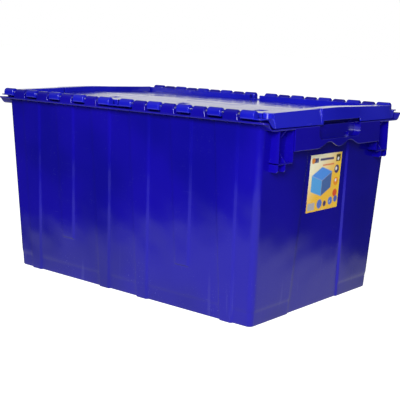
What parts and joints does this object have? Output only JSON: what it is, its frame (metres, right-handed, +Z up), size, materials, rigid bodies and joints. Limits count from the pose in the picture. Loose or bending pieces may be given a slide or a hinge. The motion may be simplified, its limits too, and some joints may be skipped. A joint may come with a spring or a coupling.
{
  "type": "stacking plastic crate",
  "caption": "Stacking storage crate with tapered ribbed walls, end hand grips and two attached lid halves hinged along the long rims.",
  "frame": {"origin": "middle of the base, on the surface that the crate stands on", "axes": "+X along the crate's length towards the short side with the label, +Y towards the rear long side, +Z up"},
  "size_m": [0.7144, 0.489, 0.391],
  "materials": {
    "crate_plastic": "glossy blue injection-moulded polypropylene",
    "lid_plastic": "glossy blue injection-moulded polypropylene",
    "rod_steel": "bright drawn steel rod",
    "label_paper": "printed adhesive label"
  },
  "bodies": {
    "crate": {"crate_body": "crate_plastic", "hinge_rod_front_left": "rod_steel", "hinge_rod_front_right": "rod_steel", "hinge_rod_rear_left": "rod_steel", "hinge_rod_rear_right": "rod_steel", "label": "label_paper"},
    "front_lid": {"lid_front": "lid_plastic"},
    "rear_lid": {"lid_rear": "lid_plastic"}
  },
  "joints": [
    {"name": "lid_front_hinge", "type": "hinge", "parent": "crate", "child": "front_lid", "pos_m": [0, -0.2355, 0.3833], "axis": [1, 0, 0], "range_deg": [0, 230]},
    {"name": "lid_rear_hinge", "type": "hinge", "parent": "crate", "child": "rear_lid", "pos_m": [0, 0.2355, 0.3833], "axis": [-1, 0, 0], "range_deg": [0, 230]}
  ]
}
